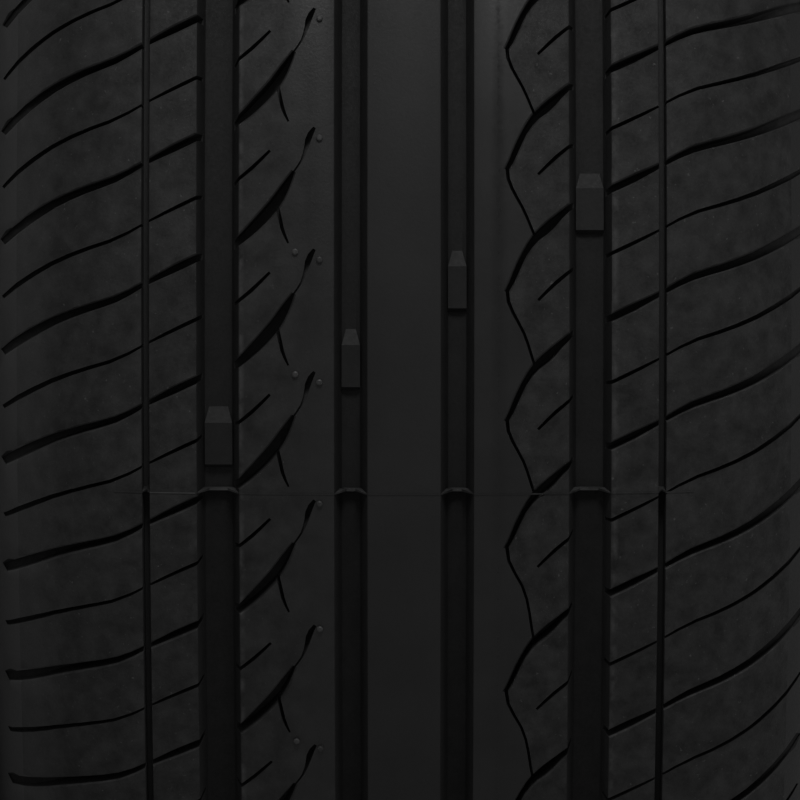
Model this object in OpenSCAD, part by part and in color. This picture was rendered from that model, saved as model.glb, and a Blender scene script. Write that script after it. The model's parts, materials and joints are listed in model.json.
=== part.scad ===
// Summer car tyre, lying flat with its axis on Z and its centre at the origin.
// Places on the tread are (s, z): s runs round the tyre and z runs along its axis.

/* [Tyre] */
// Radius over the middle of the tread
tyre_r = 316; // [306:1:326]
// Widest width, from sidewall to sidewall
section_w = 214; // [210:1:222]
// Radius at which the sidewalls are widest
widest_r = 262; // [257:1:265]
// Width of the flat ring on each sidewall that the tyre lies on
rest_ring_w = 8; // [4:1:10]
// Radius of the shoulder, from the tread to the sidewall
shoulder_r = 45; // [43:1:46]
// Rubber and plies together under the middle of the tread
crown_t = 15.5; // [14:0.5:18]
// Sidewall thickness at its widest ring
sidewall_t = 7.5; // [6:0.5:9]

/* [Bead] */
// Radius of the bead seats, which the rim fills
bead_r = 202.8; // [201:0.1:204]
// Distance between the outer faces of the two beads
bead_w = 165; // [158:1:172]
// Length of each bead seat along the axis
seat_l = 13; // [10:0.5:15]
// Radius of the bead heel
heel_r = 6; // [4:0.5:7]
// Height of the upright outer bead face, from the seat
flange_h = 17; // [14:0.5:19]
// How far the ridge that guards the rim stands out
guard_h = 1.2; // [0.4:0.1:2.5]

/* [Grooves] */
// Width of the plain rib round the middle
centre_rib_w = 18.4; // [15:0.1:20]
// Width of the two inner grooves
inner_groove_w = 8.2; // [6:0.1:9]
// Width of the ribs between the inner and outer grooves
second_rib_w = 23.8; // [22:0.1:24.5]
// Width of the two outer grooves
outer_groove_w = 10.5; // [8:0.1:11]
// Width of the ribs beside the shoulders
third_rib_w = 11.9; // [10:0.1:12.5]
// Width of the narrow grooves beside the shoulders
narrow_groove_w = 1.9; // [1:0.1:2.5]
// Depth of the four wide grooves
groove_d = 7.6; // [6.5:0.1:8.5]
// Depth of the two narrow grooves
narrow_groove_d = 6.8; // [6:0.1:7.5]
// How far each wide groove's wall leans in by its floor
groove_lean = 1.6; // [0.5:0.1:2.2]

/* [Pitches] */
// Size of a middle pitch, where a short one is 1
middle_pitch = 1.06; // [1.02:0.005:1.12]
// Size of a long pitch, where a short one is 1
long_pitch = 1.24; // [1.15:0.01:1.3]

/* [Slots] */
// Width of the shoulder slots
slot_w = 1.7; // [1:0.1:2.4]
// Width of the slots that enter the second ribs
rib_slot_w = 2.1; // [1.2:0.1:2.6]
// Width of the wave cut along each second rib
wave_w = 0.9; // [0.6:0.1:1.2]
// Width of the fine sipes
sipe_w = 0.7; // [0.5:0.1:1]
// Depth of the slots and sipes
slot_d = 6; // [4:0.1:6.4]

/* [Wear bars] */
// Height of the wear bars above the groove floors
bar_h = 1.6; // [1:0.1:2.5]
// Length of a wear bar round the tyre
bar_l = 15; // [8:1:20]
// Number of places round the tyre that have wear bars
bar_places = 6; // [4:1:8]

/* [Hidden] */
$fn = 96;

// Curves of the section
crown_arc_r = 700;
shoulder_end = 74;
shoulder_steps = 5;
wall_steps = 5;
narrow_groove_lean = 0.3;
lower_wall_turn = 44;
liner_flat = 45;
liner_step = 15;
// The shoulder's share of the height from the widest ring to the tread
shoulder_share = 0.6894;
// Width from the narrow groove to the widest ring at which shoulder_r is the shoulder's true radius
shoulder_reach = 41.5;
// The foot of the sidewall: its height over the flange, its share of the way out and its thickness
foot_up = 9.02;
foot_share = 0.5188;
foot_t = [12, -3.7];

// Edges of the ribs and grooves on one side of the middle
z1 = centre_rib_w / 2;
z2 = z1 + inner_groove_w;
z3 = z2 + second_rib_w;
z4 = z3 + outer_groove_w;
z5 = z4 + third_rib_w;
z6 = z5 + narrow_groove_w;
half_w = section_w / 2;
bead_z = bead_w / 2;

function crown(z) = tyre_r - (z * z - z1 * z1) / (2 * crown_arc_r);
function arc(centre, r, from, to, steps) =
    [for (i = [0:steps]) let (a = from + (to - from) * i / steps) centre + r * [cos(a), sin(a)]];

// Section of the upper half, as points [radius, z] from the tread to the bead and back inside
tread_edges = [for (z = [z1, z2, z3, z4, z5, z6]) [crown(z), z]];
ring_out = widest_r + rest_ring_w / 2;
ring_in = widest_r - rest_ring_w / 2;
edge_slope = asin(z6 / crown_arc_r);
turned_z = sin(shoulder_end) - sin(edge_slope);
turned_r = cos(edge_slope) - cos(shoulder_end);
shoulder_w = min(shoulder_r * turned_z * (half_w - z6) / shoulder_reach, half_w - z6 - 1);
shoulder_h = shoulder_share * (crown(z6) - ring_out);
function shoulder_at(z) = let (s = sin(edge_slope) + turned_z * (z - z6) / shoulder_w)
    crown(z6) - shoulder_h * (cos(edge_slope) - sqrt(1 - s * s)) / turned_r;
shoulder = [for (i = [0:shoulder_steps])
    let (a = edge_slope + (shoulder_end - edge_slope) * i / shoulder_steps,
        z = z6 + shoulder_w * (sin(a) - sin(edge_slope)) / turned_z)
    [shoulder_at(z), z]];
wall_top = shoulder[shoulder_steps];
wall_turn = 2 * atan((half_w - wall_top[1]) / (wall_top[0] - ring_out));
wall_r = (wall_top[0] - ring_out) / sin(wall_turn);
upper_wall = arc([ring_out, half_w - wall_r], wall_r, 90 - wall_turn, 90, wall_steps);
foot = [bead_r + flange_h + foot_up, bead_z + foot_share * (half_w - bead_z)];
lower_wall = [for (i = [0:wall_steps]) let (a = lower_wall_turn * i / wall_steps)
    [ring_in - (ring_in - foot[0]) * sin(a) / sin(lower_wall_turn),
        half_w - (half_w - foot[1]) * (1 - cos(a)) / (1 - cos(lower_wall_turn))]];
rim_guard = [foot + [-2.2, guard_h], foot + [-5, guard_h / 2], [bead_r + flange_h + 3, bead_z + 5]];
bead_face = [bead_r + flange_h, bead_z];
heel = arc([bead_r + heel_r, bead_z - heel_r], heel_r, 90, 180, 4);
toe_z = bead_z - heel_r - seat_l;
toe = [bead_r, toe_z];
bead_way = foot + foot_t - toe;
inner_bead = [for (f = [[0, 0], [0.21, 0.125], [0.5, 0.304], [0.737, 0.589], [1, 1]])
    toe + [f[0] * bead_way[0], f[1] * bead_way[1]]];
liner_r = tyre_r - crown_t;
liner_z = half_w - sidewall_t;
liner_foot_r = max(widest_r, inner_bead[4][0] + 5);
liner = [for (a = [90:-liner_step:0])
    [liner_foot_r + (liner_r - liner_foot_r) * cos(a), liner_flat + (liner_z - liner_flat) * sin(a)]];
half_section = concat([[tyre_r, 0]], tread_edges, [for (i = [1:shoulder_steps]) shoulder[i]],
    [for (i = [1:wall_steps]) upper_wall[i]], lower_wall, rim_guard, [bead_face], heel,
    inner_bead, liner, [[liner_r, 0]]);

// Pitch sizes round the tyre, as runs of [size, how many]
pitch_runs = [[1, 2], [0, 6], [1, 2], [2, 3], [1, 3], [0, 4], [2, 4], [1, 4],
    [0, 5], [1, 3], [2, 5], [0, 4], [1, 4], [2, 4], [0, 5], [1, 2]];
pitch_sizes = [1, middle_pitch, long_pitch];
pitches = [for (run = pitch_runs) for (i = [1:run[1]]) pitch_sizes[run[0]]];
function sum_to(n) = n == 0 ? 0 : pitches[n - 1] + sum_to(n - 1);
turn = 360 / sum_to(len(pitches));
// Angles of the first pitch of each half, which set how the halves face each other
upper_start = -140.15;
lower_start = -69;

// How far the shoulder slots rise round the tyre for each mm along z, and where they start
slot_rise = 0.437;
slot_lead = 0.6;
// Places along z where the shoulder slots turn shallow and where slots and sipes run out
turn_z = wall_top[1] - 20.5;
slot_end_z = wall_top[1] - 4.5;
sipe_end_z = wall_top[1] - 11.5;
turn_rise = 0.8;
run_out_r = 0.3;
// Places of the second rib's cuts, inwards from its edge and round the tyre
wave_in = 8.9;
wave_out = 15.8;
mouth_s = 5.5;
joint_s = 12.6;
corner_s = 26.4;
// How far a slot runs out into the open groove beside its rib
run_out = 1.5;
// Angle of the middle of each set of four wear bars, and half the angle between two neighbours
bar_set_angle = -89.1;
bar_half_step = 1.775;

cut_top = max(tyre_r, ring_out) + 1;

// A straight cut of width w from one place [s, z] to another, with its floor at the radius
// that floors gives as [share of the way, radius]
module cut(from, to, floors, w) {
    way = to - from;
    translate([0, from[0], from[1]]) rotate([90 - atan2(way[0], way[1]), 0, 0])
        linear_extrude(w, center = true) polygon(concat([[cut_top, 0]],
            [for (f = floors) [f[1], f[0] * norm(way)]], [[cut_top, norm(way)]]));
}

module groove(from, to, d, lean) {
    floor_r = crown((from + to) / 2) - d;
    rotate_extrude() polygon([[tyre_r + 1, from], [crown(from), from], [floor_r, from + lean],
        [floor_r, to - lean], [crown(to), to], [tyre_r + 1, to]]);
}

// Wear bars in a groove, the first at the angle start
module wear_bars(from, to, start) {
    floor_r = crown((from + to) / 2) - groove_d;
    for (i = [1:bar_places]) rotate([0, 0, start + i * 360 / bar_places])
        translate([floor_r - 1, -bar_l / 2, from - 1]) cube([bar_h + 1, bar_l, to - from + 2]);
}

// A slot or sipe from the outer groove across the third rib and the shoulder
module shoulder_cut(s, w, end_z) {
    start_z = z4 - run_out;
    length = end_z - start_z;
    first_s = s - slot_lead + slot_rise * run_out;
    cut([first_s, start_z], [first_s - slot_rise * length, end_z], [
        [0, crown(z4) - slot_d],
        [(z5 - start_z) / length, crown(z5) - slot_d],
        [(turn_z - start_z) / length, shoulder_at(turn_z) - slot_d + turn_rise],
        [1, shoulder_at(end_z) + run_out_r]], w);
}

// The slot, the wave and the sipe of one pitch in the second rib
module rib_cuts(pitch) {
    mouth = [mouth_s, z3];
    joint = [joint_s, z3 - wave_in];
    corner = [corner_s, z3 - wave_out];
    out = (mouth - joint) / norm(mouth - joint) * run_out;
    half_way = [pitch / 2, 0];
    deep = [[0, crown(z3) - slot_d], [1, crown(z3) - slot_d]];
    cut(mouth + out, joint, deep, rib_slot_w);
    cut(joint, corner, deep, wave_w);
    cut(corner, joint + [pitch, 0], deep, sipe_w);
    cut(mouth + out + half_way, joint - out + half_way, deep, sipe_w);
}

module half_tread() for (i = [0:len(pitches) - 1]) {
    pitch = pitches[i] * turn * PI * tyre_r / 180;
    rotate([0, 0, sum_to(i) * turn]) {
        shoulder_cut(0, slot_w, slot_end_z);
        shoulder_cut(pitch / 2, sipe_w, sipe_end_z);
        rib_cuts(pitch);
    }
}

module half_grooves(side) {
    difference() {
        groove(z1, z2, groove_d, groove_lean);
        wear_bars(z1, z2, bar_set_angle + side * bar_half_step);
    }
    difference() {
        groove(z3, z4, groove_d, groove_lean);
        wear_bars(z3, z4, bar_set_angle + side * bar_half_step * 3);
    }
    groove(z5, z6, narrow_groove_d, narrow_groove_lean);
}

module carcass() {
    rotate_extrude() polygon(half_section);
    mirror([0, 0, 1]) rotate_extrude() polygon(half_section);
}

module tyre() color([0.1, 0.1, 0.105]) difference() {
    carcass();
    half_grooves(-1);
    mirror([0, 0, 1]) half_grooves(1);
    rotate([0, 0, upper_start]) half_tread();
    rotate([180, 0, lower_start]) half_tread();
}

tyre();
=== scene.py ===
"""A summer car tyre lying on its sidewall, seen level and close, with its tread filling the view."""
import json
import math

import bpy
import numpy as np
from mathutils import Matrix, Vector


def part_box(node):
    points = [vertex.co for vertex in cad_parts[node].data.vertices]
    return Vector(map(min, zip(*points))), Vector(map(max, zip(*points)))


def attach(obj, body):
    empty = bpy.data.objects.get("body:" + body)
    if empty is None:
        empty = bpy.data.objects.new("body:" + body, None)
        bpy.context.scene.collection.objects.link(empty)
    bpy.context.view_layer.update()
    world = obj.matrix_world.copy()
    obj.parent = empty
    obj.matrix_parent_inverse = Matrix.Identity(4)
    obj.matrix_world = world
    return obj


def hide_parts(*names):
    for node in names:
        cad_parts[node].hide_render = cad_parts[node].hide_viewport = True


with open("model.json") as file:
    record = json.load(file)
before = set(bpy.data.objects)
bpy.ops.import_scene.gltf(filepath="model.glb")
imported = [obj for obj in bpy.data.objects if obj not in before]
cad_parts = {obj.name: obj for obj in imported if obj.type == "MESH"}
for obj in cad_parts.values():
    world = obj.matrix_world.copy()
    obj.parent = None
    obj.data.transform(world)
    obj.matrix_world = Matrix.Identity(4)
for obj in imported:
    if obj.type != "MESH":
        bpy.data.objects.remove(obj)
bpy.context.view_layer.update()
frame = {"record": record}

# Lengths are in millimetres and angles in degrees. The outer sizes come from the frame
MM = 0.001
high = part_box("tyre")[1]
mounts = {mount["name"]: mount for mount in frame["record"]["mounts"]}
TYRE_R = high[0] / MM
HALF_W = high[2] / MM
BEAD_R = mounts["bead_seat_upper"]["dims"]["r_mm"]
SEAT_L = mounts["bead_seat_upper"]["dims"]["length_mm"]

# Widths of the ribs and grooves from the middle outwards, and the edges between them
CENTRE_RIB_W = 18.4
INNER_GROOVE_W = 8.2
SECOND_RIB_W = 23.8
OUTER_GROOVE_W = 10.5
THIRD_RIB_W = 11.9
NARROW_GROOVE_W = 1.9
Z1 = CENTRE_RIB_W / 2
Z2 = Z1 + INNER_GROOVE_W
Z3 = Z2 + SECOND_RIB_W
Z4 = Z3 + OUTER_GROOVE_W
Z5 = Z4 + THIRD_RIB_W
Z6 = Z5 + NARROW_GROOVE_W

# Depths of the grooves, how far their walls lean in, and the rounding at their mouths and floors
GROOVE_D = 7.6
GROOVE_LEAN = 1.6
NARROW_GROOVE_D = 6.8
NARROW_LEAN = 0.3
RIB_EDGE_R = 0.55
FLOOR_EDGE_R = 1.5
ROUNDING_STEP = 40

# Crown, shoulder and sidewall
CROWN_ARC_R = 700
SHOULDER_START_Z = Z6 + 2
SHOULDER_R = 45
SHOULDER_END_ANGLE = 74
WIDEST_R = 262
REST_RING_W = 8
LOWER_WALL_R = 42
LOWER_WALL_END_ANGLE = 134

# Thin raised rings on the lower sidewall: radii, height, half widths, and the room that each one takes
WALL_RINGS = (249, 243, 240, 237)
WALL_RING_H = 0.5
WALL_RING_TOP = 0.4
WALL_RING_FOOT = 0.9
WALL_RING_ROOM = 1.2

# Bead and inside
BEAD_Z = 82.5
HEEL_R = 6
FLANGE_H = 17
CROWN_T = 15.5
SIDEWALL_T = 7.5
LINER_FLAT = 45
ROUND_STEPS = 180

# Pitches round the tyre: short, middle and long ones in runs of (size, how many)
PITCH_SIZES = (1, 1.06, 1.24)
PITCH_RUNS = ((1, 2), (0, 6), (1, 2), (2, 3), (1, 3), (0, 4), (2, 4), (1, 4),
              (0, 5), (1, 3), (2, 5), (0, 4), (1, 4), (2, 4), (0, 5), (1, 2))
PITCHES = [size for size, count in PITCH_RUNS for _ in range(count)]
UNITS = sum(PITCH_SIZES[size] for size in PITCHES)
SHORT_PITCH = 2 * math.pi * TYRE_R / UNITS
UPPER_START_ANGLE = -140.15
LOWER_START_ANGLE = -69

# Slots and sipes
SLOT_D = 6
FINE_D = 5
SLOT_EDGE = 0.4
SLOT_REACH_OUT = 1.2
THINNEST_CUT = 0.2
BEVELLED_FLOOR_SHARE = 0.85
PLAIN_FLOOR_SHARE = 0.9
SHOULDER_SLOT_W = 1.7
SHOULDER_SIPE_W = 0.95
SHOULDER_END_WIDER = 1.4

# Wear bars: their size, the gap beside them, the ramps at their ends, and their places
BAR_H = 1.6
BAR_L = 15
BAR_GAP = 1.8
BAR_LEAD_IN = 3.6
BAR_LEAD_IN_NARROWER = 1.6
BAR_END = 0.9
BAR_ROOT = 1
BAR_PLACES = 6
BAR_SET_ANGLE = -89.05
BAR_HALF_STEP = 1.82

# Stubs left by the mould's vents, with their places (s, z, height) in a pitch. The first one stands in every
# pitch, the second one in two of every four
STUB_R = 0.8
STUB_ROOT = 1
STUB_SIDES = 8
STUB_NECK = 0.7
STUB_TOP = 0.6
FIRST_STUB = (0.2, 21.1, 0.75)
SECOND_STUB = (2.2, 27.1, 0.7)
SECOND_STUB_PITCHES = (0, 3)

# Flash lines, where two segments of the mould meet. In a groove the web's size comes on top, from its start
# depth on, and it is all there when the groove is deeper by the growth depth
FLASH_PLACES = 8
FLASH_ANGLE = -81.2
FLASH_H = 0.1
FLASH_WEB_H = 1.6
FLASH_HALF_W = 0.16
FLASH_WEB_HALF_W = 0.14
WEB_START_D = 0.5
WEB_GROWTH_D = 5
FLASH_ROOT = 0.45
FLASH_END_Z = Z6 + 8
FLASH_END_D = 12

# Where the finishes lie. A skin is how far a face may be from a surface and still belong to it
TREAD_SKIN = 0.35
FLOOR_SKIN = 0.35
WEB_SKIN = 0.3
BAR_SKIN = 0.05
RIB_MARGIN = 2
BAR_LEAST_D = 5
FLASH_HALF_ANGLE = 0.07
WEB_LEAST_D = 0.6
FLASH_LEAST_H = 0.04
STUB_LEAST_H = 0.3
WALL_START_Z = 104
WALL_START_R = 296
WALL_INNER_Z = 80
SLOT_END_D = 4
SLOT_END_R = 280
INSIDE_R = 250
INSIDE_MARGIN = 1
LINER_END_R = 236
LINER_END_Z = 101
SHARP_ANGLE = 32

# Parts of the rubbers' patterns: sizes in metres, greys, and the range of the noise that each one uses
PATCH_RANGE = (0.32, 0.68)
GRAIN_RANGE = (0.3, 0.7)
SPECK_SIZE = 0.0011
SPECK_GREY = 0.09
SPECK_RANGE = (0.68, 0.78)
# A painted highlight: a paler broken line along a rib's edge, where the edge catches the light
EDGE_HIGHLIGHT_SIZE = 0.004
EDGE_HIGHLIGHT_GREY = 0.055
EDGE_HIGHLIGHT_RANGE = (0.4, 0.62)

# The view, aimed a little to the left of the tyre's middle and below it
VIEW_DISTANCE = 1500
VIEW_WIDTH = 199
VIEW_TO_RIGHT = -1.0
VIEW_DOWN = 24.9
SENSOR_W = 36

# Lights and floor, with places and sizes in metres and powers in watts
KEY_PLACE = (-1.35, -1.35, 0.1)
KEY_SIZE = 0.4
KEY_POWER = 8.4
OVERHEAD_PLACE = (0.2, -0.9, 2.6)
OVERHEAD_TARGET = (0, -0.5, 0)
OVERHEAD_SIZE = 2
OVERHEAD_POWER = 3.4
SKY_GREY = 0.95
SKY_STRENGTH = 0.172
FLOOR_HALF_W = 4
FLOOR_GREY = 0.8
FLOOR_ROUGHNESS = 0.8


# Section of the tyre

def crown(z):
    """Radius of the tread between the shoulders."""
    return TYRE_R - max(0, z * z - Z1 * Z1) / (2 * CROWN_ARC_R)


EDGE_SLOPE = math.asin(Z6 / CROWN_ARC_R)
SHOULDER_CENTRE_R = crown(Z6) - SHOULDER_R * math.cos(EDGE_SLOPE)
SHOULDER_CENTRE_Z = Z6 - SHOULDER_R * math.sin(EDGE_SLOPE)


def tread_at(z):
    """Radius of the tread or shoulder at a place along the axis."""
    z = abs(z)
    if z <= Z6:
        return crown(z)
    inside = max(0, SHOULDER_R ** 2 - (z - SHOULDER_CENTRE_Z) ** 2)
    return SHOULDER_CENTRE_R + math.sqrt(inside)


def arc(centre, radius, start, end, steps):
    """Points (r, z) on an arc, with angles from the radius axis."""
    angles = np.radians(np.linspace(start, end, steps + 1))
    return [(centre[0] + radius * math.cos(a), centre[1] + radius * math.sin(a)) for a in angles]


def rounded(corners):
    """Corners (r, z, radius) as a line of points, each corner rounded to its radius."""
    points = []
    for i, (r, z, radius) in enumerate(corners):
        here = np.array((r, z), float)
        if radius == 0:
            points.append(tuple(here))
            continue
        back = np.array(corners[i - 1][:2]) - here
        ahead = np.array(corners[i + 1][:2]) - here
        back, ahead = back / np.linalg.norm(back), ahead / np.linalg.norm(ahead)
        half = math.acos(np.clip(back @ ahead, -1, 1)) / 2
        middle = here + (back + ahead) / np.linalg.norm(back + ahead) * radius / math.sin(half)
        first = here + back * radius / math.tan(half) - middle
        last = here + ahead * radius / math.tan(half) - middle
        turn = math.pi - 2 * half
        steps = max(1, round(math.degrees(turn) / ROUNDING_STEP))
        for k in range(steps + 1):
            t = k / steps
            spoke = first * math.sin((1 - t) * turn) + last * math.sin(t * turn)
            points.append(tuple(middle + spoke / math.sin(turn)))
    return points


def tread_section():
    """The tread from its middle to the start of the shoulder."""
    inner_floor = crown((Z1 + Z2) / 2) - GROOVE_D
    outer_floor = crown((Z3 + Z4) / 2) - GROOVE_D
    narrow_floor = crown((Z5 + Z6) / 2) - NARROW_GROOVE_D
    second_rib = [(crown(z), z, 0) for z in np.linspace(Z2, Z3, 6)[1:-1]]
    third_rib_z = (Z4 + Z5) / 2
    return rounded([
        (TYRE_R, 0, 0),
        (TYRE_R, Z1, RIB_EDGE_R),
        (inner_floor, Z1 + GROOVE_LEAN, FLOOR_EDGE_R),
        (inner_floor, Z2 - GROOVE_LEAN, FLOOR_EDGE_R),
        (crown(Z2), Z2, RIB_EDGE_R),
        *second_rib,
        (crown(Z3), Z3, RIB_EDGE_R),
        (outer_floor, Z3 + GROOVE_LEAN, FLOOR_EDGE_R),
        (outer_floor, Z4 - GROOVE_LEAN, FLOOR_EDGE_R),
        (crown(Z4), Z4, RIB_EDGE_R),
        (crown(third_rib_z), third_rib_z, 0),
        (crown(Z5), Z5, RIB_EDGE_R / 2),
        (narrow_floor, Z5 + NARROW_LEAN, 0),
        (narrow_floor, Z6 - NARROW_LEAN, 0),
        (crown(Z6), Z6, RIB_EDGE_R / 2),
        (tread_at(SHOULDER_START_Z), SHOULDER_START_Z, 0)])


def wall_ring(ring_r, centre_r, centre_z):
    """Points (r, z) of one thin raised ring on the lower sidewall, whose arc has the centre that is given."""
    points = []
    for aside, rise in ((WALL_RING_FOOT, 0), (WALL_RING_TOP, WALL_RING_H),
                        (-WALL_RING_TOP, WALL_RING_H), (-WALL_RING_FOOT, 0)):
        r = ring_r + aside
        points.append((r, centre_z + math.sqrt(LOWER_WALL_R ** 2 - (r - centre_r) ** 2) + rise))
    return points


def wall_section():
    """The shoulder and the sidewall, down to the foot of the wall, with its raised rings."""
    shoulder_centre = (SHOULDER_CENTRE_R, SHOULDER_CENTRE_Z)
    start = math.degrees(math.asin((SHOULDER_START_Z - SHOULDER_CENTRE_Z) / SHOULDER_R))
    shoulder = arc(shoulder_centre, SHOULDER_R, start, SHOULDER_END_ANGLE, steps=10)[1:]
    top = shoulder[-1]
    rest_out, rest_in = WIDEST_R + REST_RING_W / 2, WIDEST_R - REST_RING_W / 2
    turn = 2 * math.atan((HALF_W - top[1]) / (top[0] - rest_out))
    wall_r = (top[0] - rest_out) / math.sin(turn)
    upper = arc((rest_out, HALF_W - wall_r), wall_r, 90 - math.degrees(turn), 90, steps=5)[1:]
    middle_z = HALF_W - LOWER_WALL_R
    lower = arc((rest_in, middle_z), LOWER_WALL_R, 90, LOWER_WALL_END_ANGLE, steps=7)
    foot = lower.pop()
    for ring_r in WALL_RINGS:
        lower = [point for point in lower if abs(point[0] - ring_r) > WALL_RING_ROOM]
        lower += wall_ring(ring_r, rest_in, middle_z)
    return shoulder + upper + sorted(lower, reverse=True) + [foot]


def bead_section(foot):
    """The rim guard, the bead and its toe, from the foot of the sidewall."""
    guard = rounded([
        (*foot, 0),
        (foot[0] - 2.2, foot[1] + 1.2, 0.9),
        (foot[0] - 5, foot[1] + 0.6, 1.2),
        (BEAD_R + FLANGE_H + 3, BEAD_Z + 5, 2),
        (BEAD_R + FLANGE_H, BEAD_Z, 0)])[1:]
    heel = arc((BEAD_R + HEEL_R, BEAD_Z - HEEL_R), HEEL_R, 90, 180, steps=5)
    toe_z = BEAD_Z - HEEL_R - SEAT_L
    toe = rounded([
        (BEAD_R, toe_z + 5, 0),
        (BEAD_R, toe_z, 1),
        (BEAD_R + 8, toe_z + 3.5, 5),
        (BEAD_R + 19, toe_z + 8.5, 20),
        (BEAD_R + 28, toe_z + 16.5, 20),
        (BEAD_R + 38, toe_z + 28, 0)])[1:]
    return guard + heel + toe


def liner_section():
    """The inside, from the sidewall to the middle of the crown."""
    liner_r, liner_z = TYRE_R - CROWN_T, HALF_W - SIDEWALL_T
    across_r, across_z = liner_r - WIDEST_R, liner_z - LINER_FLAT
    curve = [(WIDEST_R + across_r * math.cos(a), LINER_FLAT + across_z * math.sin(a))
             for a in np.radians(np.linspace(90, 0, 8))]
    return curve + [(liner_r, LINER_FLAT / 2), (liner_r, 0)]


def whole_section():
    """The closed section, as points (r, z) all the way round."""
    wall = wall_section()
    upper = tread_section() + wall + bead_section(wall[-1]) + liner_section()
    lower = [(r, -z) for r, z in reversed(upper[1:-1])]
    return upper + lower


# Meshes

def solid(name, points, faces):
    """A mesh object from points in millimetres, with its faces outwards."""
    mesh = bpy.data.meshes.new(name)
    mesh.from_pydata([tuple(point) for point in np.asarray(points, float) * MM], [], faces)
    mesh.update()
    if sum(face.center.dot(face.normal) * face.area for face in mesh.polygons) < 0:
        mesh.flip_normals()
    obj = bpy.data.objects.new(name, mesh)
    bpy.context.scene.collection.objects.link(obj)
    return obj


def joined(name, parts):
    """One mesh object from several lists of points and faces."""
    points, faces = [], []
    for part_points, part_faces in parts:
        faces += [tuple(i + len(points) for i in face) for face in part_faces]
        points += part_points
    return solid(name, points, faces)


def turned(name, section, steps):
    """The section turned once round the axis."""
    count = len(section)
    angles = np.linspace(0, 2 * math.pi, steps, endpoint=False)
    points = [(r * math.cos(a), r * math.sin(a), z) for a in angles for r, z in section]
    faces = []
    for i in range(steps):
        here, beside = i * count, (i + 1) % steps * count
        for j in range(count):
            k = (j + 1) % count
            faces.append((here + j, beside + j, beside + k, here + k))
    return solid(name, points, faces)


def on_tread(s, z, depth):
    """A point of the tread at s round it, z along it and a depth below its surface."""
    r = tread_at(z) - depth
    angle = s / TYRE_R
    return r * math.cos(angle), r * math.sin(angle), z


def smooth_path(knots, steps):
    """Points on a smooth line through the knots, evenly spaced, with the knots' other values."""
    knots = np.array(knots, float)
    far = np.concatenate([[0], np.cumsum(np.linalg.norm(np.diff(knots[:, :2], axis=0), axis=1))])
    slopes = np.gradient(knots, far, axis=0)
    path = []
    for t in np.linspace(0, far[-1], steps + 1):
        i = min(np.searchsorted(far, t, side="right") - 1, len(far) - 2)
        span = far[i + 1] - far[i]
        u = (t - far[i]) / span
        path.append((2 * u ** 3 - 3 * u ** 2 + 1) * knots[i] + (u ** 3 - 2 * u ** 2 + u) * span * slopes[i]
                    + (3 * u ** 2 - 2 * u ** 3) * knots[i + 1] + (u ** 3 - u ** 2) * span * slopes[i + 1])
    return np.array(path)


def cutter(knots, steps, edge=0):
    """Points and faces of a slot. Each knot is (s, z, width, depth), and edge is its bevel."""
    path = smooth_path(knots, steps)
    along = np.gradient(path[:, :2], axis=0)
    along /= np.linalg.norm(along, axis=1)[:, None]
    across = np.stack([-along[:, 1], along[:, 0]], axis=1)
    points = []
    for (s, z, width, depth), side in zip(path, across):
        half = max(width, THINNEST_CUT) / 2
        bevel = min(edge, depth / 2)
        if edge:
            column = [(-SLOT_REACH_OUT, half + bevel + SLOT_REACH_OUT), (bevel, half),
                      (depth, half * BEVELLED_FLOOR_SHARE)]
        else:
            column = [(-SLOT_REACH_OUT, half), (depth, half * PLAIN_FLOOR_SHARE)]
        ring_points = column + [(d, -h) for d, h in reversed(column)]
        points += [on_tread(s + side[0] * h, z + side[1] * h, d) for d, h in ring_points]
    n = len(ring_points)
    faces = [tuple(range(n)), tuple(reversed(range(steps * n, steps * n + n)))]
    for i in range(steps):
        for j in range(n):
            k = (j + 1) % n
            faces.append((i * n + j, (i + 1) * n + j, (i + 1) * n + k, i * n + k))
    return points, faces


# Slots and sipes of one pitch, as knots of (s, z, width, depth)

def shoulder_slot(s, w):
    """From the outer groove across the third rib, then over the shoulder, where it grows wide and shallow."""
    end_w = w * SHOULDER_END_WIDER
    return [(s + 1.5, Z4 - 1.8, w, SLOT_D),
            (s - 2, 57.3, w * 1.05, SLOT_D),
            (s - 5.7, 64.6, w * 0.6, SLOT_D - 1),
            (s - 9.1, 70.8, w * 0.9, SLOT_D),
            (s - 12.5, 80.8, w * 1.1, SLOT_D - 0.6),
            (s - 14.9, 87, w * SHOULDER_END_WIDER ** 0.6, 3.9),
            (s - 17.8, 92.5, end_w, 2.4),
            (s - 21.3, 98, end_w, 1.4),
            (s - 24.2, 101.6, end_w * 0.8, 0.9)]


def rib_sipe(s):
    """A short fine cut beside each leaf slot."""
    return [(s + 4, Z3 + 1.6, 0.8, SLOT_D),
            (s + 8, 37.9, 1, SLOT_D),
            (s + 12.4, 33.4, 0.7, FINE_D)]


# Places (s, z) in a pitch. On the upper half the wave turns at its corner and ends at the next leaf's joint
JOINT = (12.7, 32.6)
CORNER = (26.6, 25.5)
HOOK_END = (4.4, 28.8)
LEAF_TIP = (22.4, 27.5)

# Of twelve steps along the upper leaf, those before its joint
STEPS_TO_JOINT = 5


def upper_leaf():
    """On the upper half, a slot thickest near its joint, and straight from there to the wave's corner."""
    return [(4, Z3 + 1.6, 1.2, SLOT_D),
            (7.4, 38.9, 1.7, SLOT_D),
            (10.4, 35.8, 2.5, SLOT_D),
            (12.8, 33, 2, SLOT_D),
            (16.2, 30.5, 1.4, SLOT_D),
            (20.6, 28.3, 1.4, SLOT_D),
            (24.2, 26.8, 1.25, SLOT_D),
            (*CORNER, 0.9, FINE_D)]


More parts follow.
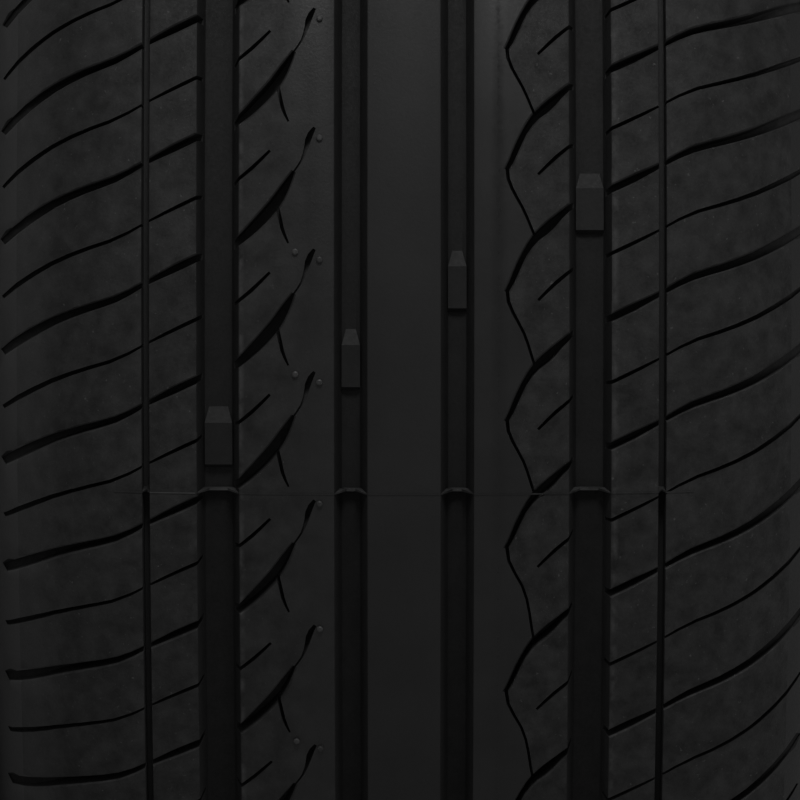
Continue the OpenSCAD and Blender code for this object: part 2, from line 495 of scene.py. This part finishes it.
def upper_wave(pitch):
    """The fine part of the upper wave, from its corner to the next joint."""
    return [(CORNER[0] - 0.5, CORNER[1] + 0.2, 0.95, FINE_D),
            (29, 26, 0.9, FINE_D),
            (32.2, 27.4, 0.8, FINE_D),
            (35.8, 29.4, 0.75, FINE_D),
            (pitch + JOINT[0], JOINT[1], 0.7, FINE_D)]


def lower_leaf():
    """On the lower half, a thicker slot that ends in a tip."""
    return [(3.6, Z3 + 1.6, 1.6, SLOT_D),
            (6.4, 39.6, 2.3, SLOT_D),
            (10.5, 35.5, 2.9, SLOT_D),
            (14.2, 32.3, 2.9, SLOT_D),
            (18.2, 29.8, 2.2, SLOT_D),
            (*LEAF_TIP, 0.6, SLOT_D - 2)]


def lower_hook():
    """A fine hook from the lower leaf, back towards the tail of the pitch before."""
    return [(14, 31.7, 1, FINE_D),
            (11.2, 31, 0.95, FINE_D),
            (7.6, 30.2, 0.9, SLOT_D - 2),
            (*HOOK_END, 0.5, 1.6)]


def lower_tail():
    """A shallow line from the tip of the lower leaf, which ends in a short wide cut beside a vent."""
    return [(LEAF_TIP[0] - 0.3, LEAF_TIP[1] + 0.1, 0.5, 1),
            (25.4, 25.4, 0.6, 1),
            (28.2, 24.4, 1.1, 2.6),
            (31.2, 23.6, 1.6, 3),
            (33.4, 22.3, 0.8, 2)]


def side_cuts(pitch):
    """What both halves share: the slot and the sipe of the shoulder, and the sipe of the second rib."""
    return [cutter(shoulder_slot(0, SHOULDER_SLOT_W), steps=14, edge=SLOT_EDGE),
            cutter(shoulder_slot(pitch / 2, SHOULDER_SIPE_W), steps=11),
            cutter(rib_sipe(pitch / 2), steps=4)]


def upper_cuts(pitch):
    """The wide cuts of one pitch on the upper half."""
    return side_cuts(pitch) + [cutter(upper_leaf(), steps=11, edge=SLOT_EDGE)]


def lower_cuts(pitch):
    """The wide cuts of one pitch on the lower half."""
    return side_cuts(pitch) + [cutter(lower_leaf(), steps=10, edge=SLOT_EDGE)]


def upper_fine_cuts(pitch):
    """The fine wave of one pitch on the upper half."""
    return [cutter(upper_wave(pitch), steps=7)]


def lower_fine_cuts(pitch):
    """The fine hook and tail on the lower half, which are alike in every pitch."""
    return [cutter(lower_hook(), steps=5), cutter(lower_tail(), steps=7)]


# Repeats round the tyre

def shape_group(kind, shapes):
    """A collection with one mesh for each list of points and faces, named in their order."""
    group = bpy.data.collections.new(kind)
    for i, parts in enumerate(shapes):
        obj = joined(f"{kind}_{i}", parts)
        bpy.context.scene.collection.objects.unlink(obj)
        group.objects.link(obj)
    return group


def pitch_shapes(kind, parts_of):
    """One mesh for each size of pitch, in a collection of their own."""
    return shape_group(kind, [parts_of(size * SHORT_PITCH) for size in PITCH_SIZES])


def pitch_turns():
    """The angle in radians at which each pitch starts."""
    widths = [PITCH_SIZES[size] / UNITS * 2 * math.pi for size in PITCHES]
    return np.concatenate([[0], np.cumsum(widths)[:-1]])


def places(name, turns, shapes):
    """Points at the middle of the tyre that carry a turn in radians and the number of a shape."""
    mesh = bpy.data.meshes.new(name)
    mesh.from_pydata([(0, 0, 0)] * len(turns), [], [])
    mesh.attributes.new("turn", "FLOAT", "POINT").data.foreach_set("value", turns)
    mesh.attributes.new("shape", "INT", "POINT").data.foreach_set("value", shapes)
    obj = bpy.data.objects.new(name, mesh)
    bpy.context.scene.collection.objects.link(obj)
    return obj


def ring_tree():
    """Geometry Nodes that set numbered shapes round the axis, and can turn the whole ring over."""
    tree = bpy.data.node_groups.new("shapes_round_the_tyre", "GeometryNodeTree")
    inputs = (("Geometry", "Geometry"), ("Shapes", "Collection"), ("Start angle", "Float"),
              ("Turned over", "Float"), ("Material", "Material"))
    for name, kind in inputs:
        tree.interface.new_socket(name, in_out="INPUT", socket_type=f"NodeSocket{kind}")
    tree.interface.new_socket("Geometry", in_out="OUTPUT", socket_type="NodeSocketGeometry")
    add, link = tree.nodes.new, tree.links.new
    given, result = add("NodeGroupInput"), add("NodeGroupOutput")
    shapes = add("GeometryNodeCollectionInfo")
    shapes.inputs["Separate Children"].default_value = True
    turn, shape = add("GeometryNodeInputNamedAttribute"), add("GeometryNodeInputNamedAttribute")
    turn.inputs["Name"].default_value = "turn"
    shape.data_type = "INT"
    shape.inputs["Name"].default_value = "shape"
    place_turn, place_angle = add("ShaderNodeCombineXYZ"), add("FunctionNodeEulerToRotation")
    on_points = add("GeometryNodeInstanceOnPoints")
    on_points.inputs["Pick Instance"].default_value = True
    ring_turn, whole = add("ShaderNodeCombineXYZ"), add("GeometryNodeTransform")
    realize, paint = add("GeometryNodeRealizeInstances"), add("GeometryNodeSetMaterial")
    link(given.outputs["Geometry"], on_points.inputs["Points"])
    link(given.outputs["Shapes"], shapes.inputs["Collection"])
    link(shapes.outputs[0], on_points.inputs["Instance"])
    link(shape.outputs["Attribute"], on_points.inputs["Instance Index"])
    link(turn.outputs["Attribute"], place_turn.inputs["Z"])
    link(place_turn.outputs[0], place_angle.inputs[0])
    link(place_angle.outputs[0], on_points.inputs["Rotation"])
    link(given.outputs["Turned over"], ring_turn.inputs["X"])
    link(given.outputs["Start angle"], ring_turn.inputs["Z"])
    link(on_points.outputs[0], whole.inputs["Geometry"])
    link(ring_turn.outputs[0], whole.inputs["Rotation"])
    link(whole.outputs[0], realize.inputs[0])
    link(realize.outputs[0], paint.inputs["Geometry"])
    link(given.outputs["Material"], paint.inputs["Material"])
    link(paint.outputs[0], result.inputs[0])
    return tree


def plain_mesh(obj):
    """Turns an object's modifiers into its own mesh."""
    bpy.context.view_layer.update()
    ready = obj.evaluated_get(bpy.context.evaluated_depsgraph_get())
    mesh = bpy.data.meshes.new_from_object(ready)
    obj.modifiers.clear()
    obj.data = mesh
    return obj


def ring(name, tree, shapes, turns, numbers, material, start=0.0, over=0.0):
    """Shapes from a collection set round the tyre, as one plain mesh."""
    obj = places(name, turns, numbers)
    nodes = obj.modifiers.new("ring", "NODES")
    nodes.node_group = tree
    sockets = {item.name: item.identifier for item in tree.interface.items_tree if item.in_out == "INPUT"}
    nodes[sockets["Shapes"]] = shapes
    nodes[sockets["Start angle"]] = math.radians(start)
    nodes[sockets["Turned over"]] = over
    nodes[sockets["Material"]] = material
    return plain_mesh(obj)


def upper_ring(name, tree, shapes, material):
    """The pitches of the upper half of the tread."""
    return ring(name, tree, shapes, pitch_turns(), PITCHES, material, UPPER_START_ANGLE)


def lower_ring(name, tree, shapes, material):
    """The pitches of the lower half, which is turned over."""
    return ring(name, tree, shapes, pitch_turns(), PITCHES, material, LOWER_START_ANGLE, math.pi)


# Raised details

def bar(z_low, z_high, floor_r):
    """A wear bar on a groove's floor, with a long narrowing ramp at one end and a short one at the other."""
    root = BAR_ROOT / BAR_H
    start, end = -BAR_L / 2, BAR_L / 2
    profile = [(floor_r - BAR_ROOT, start - BAR_LEAD_IN * root, BAR_LEAD_IN_NARROWER),
               (floor_r + BAR_H, start + BAR_LEAD_IN, 0),
               (floor_r + BAR_H, end - BAR_END, 0),
               (floor_r - BAR_ROOT, end + BAR_END * root, 0)]
    points = [(r, s, z_low + narrower) for r, s, narrower in profile]
    points += [(r, s, z_high - narrower) for r, s, narrower in profile]
    sides = [(0, 1, 3), (1, 2, 3), (7, 5, 4), (7, 6, 5)]
    across = [(0, 4, 5, 1), (1, 5, 6, 2), (2, 6, 7, 3), (3, 7, 4, 0)]
    return points, sides + across


def wear_bars(tree, material):
    """Low bars in the wide grooves, which show when the tread is worn down."""
    shapes, turns, numbers = [], [], []
    grooves = ((Z1, Z2, -1), (Z3, Z4, -3), (-Z2, -Z1, 1), (-Z4, -Z3, 3))
    for i, (from_z, to_z, step) in enumerate(grooves):
        floor_r = crown((from_z + to_z) / 2) - GROOVE_D
        shapes.append([bar(from_z + BAR_GAP, to_z - BAR_GAP, floor_r)])
        first = BAR_SET_ANGLE + step * BAR_HALF_STEP
        turns += [math.radians(first + k * 360 / BAR_PLACES) for k in range(BAR_PLACES)]
        numbers += [i] * BAR_PLACES
    return ring("wear_bars", tree, shape_group("bar_shapes", shapes), turns, numbers, material)


def stub(s, z, height):
    """A short round stub with a narrower top that stands on the tread."""
    points = []
    for depth, size in ((STUB_ROOT, 1), (-height * STUB_NECK, 1), (-height, STUB_TOP)):
        for k in range(STUB_SIDES):
            a = 2 * math.pi * k / STUB_SIDES
            points.append(on_tread(s + size * STUB_R * math.cos(a), z + size * STUB_R * math.sin(a), depth))
    faces = [tuple(reversed(range(STUB_SIDES))), tuple(range(2 * STUB_SIDES, 3 * STUB_SIDES))]
    for level in (0, STUB_SIDES):
        for k in range(STUB_SIDES):
            here, beside = level + k, level + (k + 1) % STUB_SIDES
            faces.append((here, beside, beside + STUB_SIDES, here + STUB_SIDES))
    return points, faces


def vents(tree, material):
    """Stubs of rubber left by the vents of the mould, beside the lower wave."""
    turns = pitch_turns()
    shapes = shape_group("vent_shapes", [[stub(*FIRST_STUB)], [stub(*SECOND_STUB)]])
    picked = [i for i in range(len(turns)) if i % 4 in SECOND_STUB_PITCHES]
    all_turns = list(turns) + [turns[i] for i in picked]
    numbers = [0] * len(turns) + [1] * len(picked)
    return ring("vents", tree, shapes, all_turns, numbers, material, LOWER_START_ANGLE, math.pi)


def flash_line(tree, section, material):
    """The thin fin between two segments of the mould: a web in a groove, and hardly a line on a rib."""
    upper = section[:len(section) // 2]
    half = [point for point in upper if point[1] < FLASH_END_Z and point[0] > TYRE_R - FLASH_END_D]
    line = np.array([(r, -z) for r, z in reversed(half[1:])] + half)
    along = np.gradient(line, axis=0)
    out = np.stack([along[:, 1], -along[:, 0]], axis=1)
    out /= np.linalg.norm(out, axis=1)[:, None]
    points = []
    for (r, z), n in zip(line, out):
        deep = min(1, max(0, tread_at(z) - r - WEB_START_D) / WEB_GROWTH_D)
        tall = FLASH_H + FLASH_WEB_H * deep
        half_w = FLASH_HALF_W + FLASH_WEB_HALF_W * deep
        for lift in (tall, -FLASH_ROOT):
            points += [(r + n[0] * lift, side, z + n[1] * lift) for side in (-half_w, half_w)]
    count = len(line)
    faces = [(0, 1, 3, 2), (count * 4 - 2, count * 4 - 1, count * 4 - 3, count * 4 - 4)]
    for i in range(count - 1):
        a, b = i * 4, i * 4 + 4
        faces += [(a, b, b + 1, a + 1), (a + 1, b + 1, b + 3, a + 3),
                  (a + 3, b + 3, b + 2, a + 2), (a + 2, b + 2, b, a)]
    turns = [2 * math.pi * i / FLASH_PLACES for i in range(FLASH_PLACES)]
    shapes = shape_group("flash_shapes", [[(points, faces)]])
    return ring("flash_lines", tree, shapes, turns, [0] * FLASH_PLACES, material, FLASH_ANGLE)


# Finishes

def shader(name):
    """A new material, its node tree and its Principled shader."""
    material = bpy.data.materials.new(name)
    material.use_nodes = True
    return material, material.node_tree, material.node_tree.nodes["Principled BSDF"]


def set_inputs(node, **values):
    """Sets the inputs of a node that the values name, with _ for a space."""
    for name, value in values.items():
        node.inputs[name.replace("_", " ")].default_value = value
    return node


def noise(tree, place, size, detail):
    """Noise with features of about one size in metres, at places that a node gives."""
    node = set_inputs(tree.nodes.new("ShaderNodeTexNoise"), Scale=1 / size, Detail=detail, Roughness=0.6)
    tree.links.new(place, node.inputs["Vector"])
    return node.outputs["Fac"]


def mapped(tree, source, from_low, from_high, to_low=0.0, to_high=1.0):
    """A value moved from one range to another."""
    node = tree.nodes.new("ShaderNodeMapRange")
    set_inputs(node, From_Min=from_low, From_Max=from_high, To_Min=to_low, To_Max=to_high)
    tree.links.new(source, node.inputs["Value"])
    return node.outputs[0]


def mixed(tree, factor, first, second):
    """Two colours mixed. Each is a grey value or the output of a node."""
    node = tree.nodes.new("ShaderNodeMix")
    node.data_type = "RGBA"
    for name, colour in (("A", first), ("B", second)):
        if isinstance(colour, float):
            node.inputs[name].default_value = (colour, colour, colour, 1)
        else:
            tree.links.new(colour, node.inputs[name])
    tree.links.new(factor, node.inputs["Factor"])
    return node.outputs["Result"]


def calc(tree, operation, *values):
    """The result of a Math node. Each value is a number or the output of a node."""
    node = tree.nodes.new("ShaderNodeMath")
    node.operation = operation
    for socket, value in zip(node.inputs, values):
        if isinstance(value, float):
            socket.default_value = value
        else:
            tree.links.new(value, socket)
    return node.outputs[0]


def near(tree, z, middle, half_width):
    """A value that is 1 at one place along the axis and falls to 0 at half_width from it."""
    away = calc(tree, "SUBTRACT", z, middle * MM)
    return mapped(tree, calc(tree, "ABSOLUTE", away), half_width * MM, 0)


def rubber(name, dark, dusty, patch, roughness, spread, grain, bump,
           specks=0.0, shine=(), edges=(), haze_and_painted_light=()):
    """Black rubber: patches of dust, a fine grain in gloss and relief, pale specks, and bands along the axis.

    Dark and dusty are greys. Patch, grain and bump are sizes in metres.
    A band of shine is (middle, half width, how much smoother), a painted highlight along an edge (middle,
    half width) and an even band of grey (middle, half width, share, grey), which evens the lower rib's tone
    or paints light in the grooves and on the lower shoulder."""
    material, tree, surface = shader(name)
    place = tree.nodes.new("ShaderNodeTexCoord").outputs["Object"]
    axis = tree.nodes.new("ShaderNodeSeparateXYZ")
    tree.links.new(place, axis.inputs[0])
    z = axis.outputs["Z"]
    grain_noise = noise(tree, place, grain, 3)
    patches = mapped(tree, noise(tree, place, patch, 6), *PATCH_RANGE)
    colour = mixed(tree, patches, dark, dusty)
    if specks:
        dots = mapped(tree, noise(tree, place, SPECK_SIZE, 2), *SPECK_RANGE, 0, specks)
        colour = mixed(tree, dots, colour, SPECK_GREY)
    # Edges: a paler broken line, a painted highlight where a rib's edge catches the light
    for middle, half_width in edges:
        broken_highlight = mapped(tree, noise(tree, place, EDGE_HIGHLIGHT_SIZE, 3), *EDGE_HIGHLIGHT_RANGE)
        line = calc(tree, "MULTIPLY", near(tree, z, middle, half_width), broken_highlight)
        colour = mixed(tree, line, colour, EDGE_HIGHLIGHT_GREY)
    # Bands of grey: painted light in the grooves and on the lower shoulder, and an even tone on the lower rib
    for middle, half_width, share, grey in haze_and_painted_light:
        band = mapped(tree, near(tree, z, middle, half_width), 0, 1, 0, share)
        colour = mixed(tree, band, colour, grey)
    gloss = mapped(tree, grain_noise, *GRAIN_RANGE, roughness - spread, roughness + spread)
    for middle, half_width, smoother in shine:
        gloss = calc(tree, "MULTIPLY_ADD", near(tree, z, middle, half_width), -smoother, gloss)
    relief = set_inputs(tree.nodes.new("ShaderNodeBump"), Strength=1, Distance=bump)
    tree.links.new(grain_noise, relief.inputs["Height"])
    tree.links.new(colour, surface.inputs["Base Color"])
    tree.links.new(gloss, surface.inputs["Roughness"])
    tree.links.new(relief.outputs["Normal"], surface.inputs["Normal"])
    return material


# Painted light in the grooves: paler bands where light reaches down into them, as the rubbers take them
NARROW_GROOVE_PAINTED_LIGHT = [(-64.6, 2.5, 1, 0.04), (64.6, 2.5, 1, 0.03)]
OUTER_GROOVE_PAINTED_LIGHT = [(-58, 10, 0.25, 0.04), (58, 10, 0.25, 0.04)]


def block_rubber():
    """The blocks, dull with dust, with a painted highlight along the outer groove's edge and a paler band on
    the lower shoulder, which is painted light from the floor's reflection.
    """
    return rubber("dusty_block_rubber", dark=0.005, dusty=0.031, patch=0.005, roughness=0.72, spread=0.08,
                  grain=0.0007, bump=0.00008, specks=0.8, edges=[(Z4 + 0.9, 1.2)],
                  haze_and_painted_light=[(-100, 50, 0.12, 0.055), (-106, 20, 0.62, 0.13)])


def lower_rib_rubber():
    """The lower second rib, which is smoother and more even towards the inner groove, with a painted
    highlight along its outer edge.
    """
    return rubber("lower_rib_rubber", dark=0.005, dusty=0.027, patch=0.006, roughness=0.66, spread=0.07,
                  grain=0.0008, bump=0.00006, specks=0.35, shine=[(-23.5, 7, 0.26)], edges=[(-Z3 + 0.5, 1)],
                  haze_and_painted_light=[(-20, 13, 0.8, 0.0175)])


def rib_rubber():
    """The plain middle rib, fairly clean."""
    return rubber("middle_rib_rubber", dark=0.011, dusty=0.017, patch=0.02, roughness=0.6, spread=0.04,
                  grain=0.0008, bump=0.00003)


def strip_rubber():
    """The upper smooth strip beside the inner groove, which shines most in a narrow band."""
    return rubber("shiny_strip_rubber", dark=0.011, dusty=0.018, patch=0.015, roughness=0.52, spread=0.05,
                  grain=0.0012, bump=0.00003, shine=[(23.6, 2.6, 0.24)])


def groove_rubber():
    """Walls and floors of the grooves and slots, with painted light in the narrow grooves."""
    return rubber("groove_rubber", dark=0.005, dusty=0.01, patch=0.006, roughness=0.75, spread=0.06,
                  grain=0.0009, bump=0.00006, haze_and_painted_light=NARROW_GROOVE_PAINTED_LIGHT)


def dark_groove_rubber():
    """Grooves and slots in every second segment of the mould, darker and rougher, with paler bands of painted
    light in the outer and narrow grooves.
    """
    return rubber("dark_groove_rubber", dark=0.004, dusty=0.009, patch=0.004, roughness=0.85, spread=0.06,
                  grain=0.0009, bump=0.00006, haze_and_painted_light=OUTER_GROOVE_PAINTED_LIGHT + NARROW_GROOVE_PAINTED_LIGHT)


def trimmed_rubber():
    """Thin fins and trimmed stubs, painted paler than the rest as a highlight where they catch the light."""
    return rubber("trimmed_rubber", dark=0.015, dusty=0.075, patch=0.009, roughness=0.5, spread=0.05,
                  grain=0.0008, bump=0.00003)


def sidewall_rubber():
    """The plain sidewalls, paler at the lower shoulder with painted light from the floor's reflection."""
    return rubber("sidewall_rubber", dark=0.013, dusty=0.02, patch=0.03, roughness=0.58, spread=0.06,
                  grain=0.0008, bump=0.00003, haze_and_painted_light=[(-106, 26, 0.8, 0.13)])


def liner_rubber():
    """The smooth rubber inside."""
    return rubber("liner_rubber", dark=0.011, dusty=0.016, patch=0.04, roughness=0.5, spread=0.06,
                  grain=0.0015, bump=0.00004)


def bar_rubber():
    """The wear bars, painted paler than the floors around them where their tops catch more light."""
    return rubber("wear_bar_rubber", dark=0.007, dusty=0.013, patch=0.006, roughness=0.7, spread=0.05,
                  grain=0.0009, bump=0.00004)


BLOCKS, LOWER_RIB, MIDDLE, STRIP, GROOVES, DARK_GROOVES, TRIMMINGS, WALLS, LINER, BARS = range(10)


def finishes():
    """The rubbers, in the order of their numbers above."""
    return [block_rubber(), lower_rib_rubber(), rib_rubber(), strip_rubber(), groove_rubber(),
            dark_groove_rubber(), trimmed_rubber(), sidewall_rubber(), liner_rubber(), bar_rubber()]


def upper_wave_line():
    """The upper edge of the smooth strip all round, as angles from 0 to 360 and places along z."""
    angles, across, so_far = [], [], 0.0
    for size in PITCHES:
        pitch = PITCH_SIZES[size] * SHORT_PITCH
        leaf = smooth_path(upper_leaf(), steps=12)[STEPS_TO_JOINT:, :2]
        wave = smooth_path(upper_wave(pitch), steps=8)[1:-1, :2]
        for s, z in [*leaf, *wave]:
            angles.append(UPPER_START_ANGLE + math.degrees((so_far + s) / TYRE_R))
            across.append(z)
        so_far += pitch
    order = np.argsort(np.mod(angles, 360))
    return np.mod(angles, 360)[order], np.array(across)[order]


def zone_of(centres):
    """The number of each face's finish, from where its middle lies."""
    r = np.hypot(centres[:, 0], centres[:, 1]) / MM
    z = centres[:, 2] / MM
    far = np.abs(z)
    angle = np.mod(np.degrees(np.arctan2(centres[:, 1], centres[:, 0])), 360)
    depth = np.array([tread_at(v) for v in z]) - r
    segment = 360 / FLASH_PLACES

    # Grooves and slots, in every second segment of the mould with the darker floor
    zone = np.full(len(z), GROOVES)
    zone[np.mod(angle - FLASH_ANGLE, 2 * segment) < segment] = DARK_GROOVES

    # Tops of the ribs and blocks
    top = (depth < TREAD_SKIN) & (far < WALL_START_Z)
    strip_end = np.interp(angle, *upper_wave_line(), period=360)
    zone[top] = BLOCKS
    zone[top & (far < (Z1 + Z2) / 2)] = MIDDLE
    zone[top & (z > Z1 + RIB_MARGIN) & (z < strip_end)] = STRIP
    zone[top & (z < -Z1 - RIB_MARGIN) & (z > -Z3 - RIB_MARGIN)] = LOWER_RIB

    # Wear bars, then stubs, webs in the grooves and the flash line on the lower third rib, in paler rubbers
    # that paint a highlight where they catch the light
    from_edges = np.min([np.abs(far - edge) for edge in (Z1, Z2, Z3, Z4)], axis=0)
    on_floor = (depth > BAR_LEAST_D) & (depth < GROOVE_D - FLOOR_SKIN) & (far < Z4)
    zone[on_floor & (from_edges > BAR_GAP - BAR_SKIN)] = BARS
    at_flash = np.abs(np.mod(angle - FLASH_ANGLE + segment / 2, segment) - segment / 2) < FLASH_HALF_ANGLE
    web = at_flash & (depth > WEB_LEAST_D) & (depth < GROOVE_D - WEB_SKIN)
    painted_highlight_line = at_flash & (depth < -FLASH_LEAST_H) & (z < -Z4) & (z > -Z5)
    zone[(depth < -STUB_LEAST_H) | web | painted_highlight_line] = TRIMMINGS

    # Sidewalls, apart from the ends of the slots, and the inside
    slot_end = (depth > TREAD_SKIN) & (depth < SLOT_END_D) & (r > SLOT_END_R)
    zone[(far >= WALL_START_Z) | ((r < WALL_START_R) & (far > WALL_INNER_Z) & ~slot_end)] = WALLS
    liner_z = HALF_W - SIDEWALL_T + INSIDE_MARGIN
    liner_r = TYRE_R - CROWN_T - INSIDE_R + INSIDE_MARGIN
    inside = (z / liner_z) ** 2 + ((r - INSIDE_R) / liner_r) ** 2 < 1
    zone[(inside | (r < INSIDE_R)) & (far < BEAD_Z - 3) & (r > BEAD_R + 0.5)] = LINER
    zone[inside & (r > LINER_END_R) & (far < LINER_END_Z)] = LINER
    return zone


# The tyre

def cut_with(obj, others, operation):
    """Cuts other meshes out of obj, or adds them to it."""
    for other in others:
        change = obj.modifiers.new(operation, "BOOLEAN")
        change.operation = operation
        change.solver = "MANIFOLD"
        change.object = other
    plain_mesh(obj)
    for other in others:
        bpy.data.objects.remove(other)


def build_tyre(rubbers):
    """The turned body, with its slots cut and its bars, stubs and flash lines added."""
    section = whole_section()
    tyre = turned("car_tyre", section, ROUND_STEPS)
    tree = ring_tree()
    slots = rubbers[GROOVES]
    for upper_name, upper_parts, lower_name, lower_parts in (
            ("upper_slot_shapes", upper_cuts, "lower_slot_shapes", lower_cuts),
            ("upper_fine_shapes", upper_fine_cuts, "lower_fine_shapes", lower_fine_cuts)):
        upper = upper_ring("upper_cuts", tree, pitch_shapes(upper_name, upper_parts), slots)
        lower = lower_ring("lower_cuts", tree, pitch_shapes(lower_name, lower_parts), slots)
        cut_with(tyre, [upper, lower], "DIFFERENCE")
    cut_with(tyre, [wear_bars(tree, rubbers[BARS]), vents(tree, rubbers[TRIMMINGS])], "UNION")
    cut_with(tyre, [flash_line(tree, section, rubbers[TRIMMINGS])], "UNION")
    return tyre


def finish_tyre(tyre, rubbers):
    """Gives each face its finish and its smoothness, and the wear bars crisp edges."""
    mesh = tyre.data
    mesh.materials.clear()
    for material in rubbers:
        mesh.materials.append(material)
    centres = np.empty(len(mesh.polygons) * 3)
    mesh.polygons.foreach_get("center", centres)
    zone = zone_of(centres.reshape(-1, 3))
    mesh.polygons.foreach_set("material_index", zone.astype(np.int32))
    mesh.polygons.foreach_set("use_smooth", np.ones(len(mesh.polygons), bool))
    mesh.set_sharp_from_angle(angle=math.radians(SHARP_ANGLE))
    for i in np.flatnonzero(zone == BARS):
        for j in mesh.polygons[i].loop_indices:
            mesh.edges[mesh.loops[j].edge_index].use_edge_sharp = True
    mesh.update()


rubbers = finishes()
tyre = build_tyre(rubbers)
finish_tyre(tyre, rubbers)
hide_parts("tyre")
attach(tyre, "root")


# Floor, lights and camera

def floor():
    """A plain pale floor under the sidewall."""
    a, z = FLOOR_HALF_W, -HALF_W * MM
    mesh = bpy.data.meshes.new("floor")
    mesh.from_pydata([(-a, -a, z), (a, -a, z), (a, a, z), (-a, a, z)], [], [(0, 1, 2, 3)])
    obj = bpy.data.objects.new("floor", mesh)
    bpy.context.scene.collection.objects.link(obj)
    material, _, surface = shader("pale_floor")
    surface.inputs["Base Color"].default_value = (FLOOR_GREY, FLOOR_GREY, FLOOR_GREY, 1)
    surface.inputs["Roughness"].default_value = FLOOR_ROUGHNESS
    mesh.materials.append(material)


def soft_light(name, place, target, size, power):
    """A square soft light at a place, aimed at a target, in metres."""
    light = bpy.data.lights.new(name, "AREA")
    light.shape = "SQUARE"
    light.size = size
    light.energy = power
    obj = bpy.data.objects.new(name, light)
    obj.location = place
    obj.rotation_euler = (Vector(target) - Vector(place)).to_track_quat("-Z", "Y").to_euler()
    bpy.context.scene.collection.objects.link(obj)


def lights():
    """A small soft light past the picture's top, a weak wide one overhead and a pale sky."""
    soft_light("key", KEY_PLACE, (0, -TYRE_R * MM, 0), KEY_SIZE, KEY_POWER)
    soft_light("overhead", OVERHEAD_PLACE, OVERHEAD_TARGET, OVERHEAD_SIZE, OVERHEAD_POWER)
    world = bpy.data.worlds.new("pale_sky")
    world.use_nodes = True
    sky = world.node_tree.nodes["Background"]
    set_inputs(sky, Color=(SKY_GREY, SKY_GREY, SKY_GREY, 1), Strength=SKY_STRENGTH)
    bpy.context.scene.world = world


def camera():
    """Level with the tread and square to it, rolled so that the tyre's axis lies across the picture."""
    data = bpy.data.cameras.new("camera")
    data.sensor_width = SENSOR_W
    data.lens = SENSOR_W * VIEW_DISTANCE / VIEW_WIDTH
    obj = bpy.data.objects.new("camera", data)
    bpy.context.scene.collection.objects.link(obj)
    eye = Vector((0, -(TYRE_R + VIEW_DISTANCE) * MM, 0))
    aim = Vector((VIEW_DOWN * MM, -TYRE_R * MM, VIEW_TO_RIGHT * MM))
    back = (eye - aim).normalized()
    up = back.cross(Vector((0, 0, 1))).normalized()
    right = up.cross(back).normalized()
    obj.matrix_world = Matrix.Translation(eye) @ Matrix((right, up, back)).transposed().to_4x4()
    bpy.context.scene.camera = obj


floor()
lights()
camera()
bpy.context.scene.view_settings.view_transform = "Standard"

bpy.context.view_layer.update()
triangles = sum(len(face.vertices) - 2 for face in tyre.data.polygons)
print("triangles", triangles, "in", len(tyre.data.polygons), "faces")
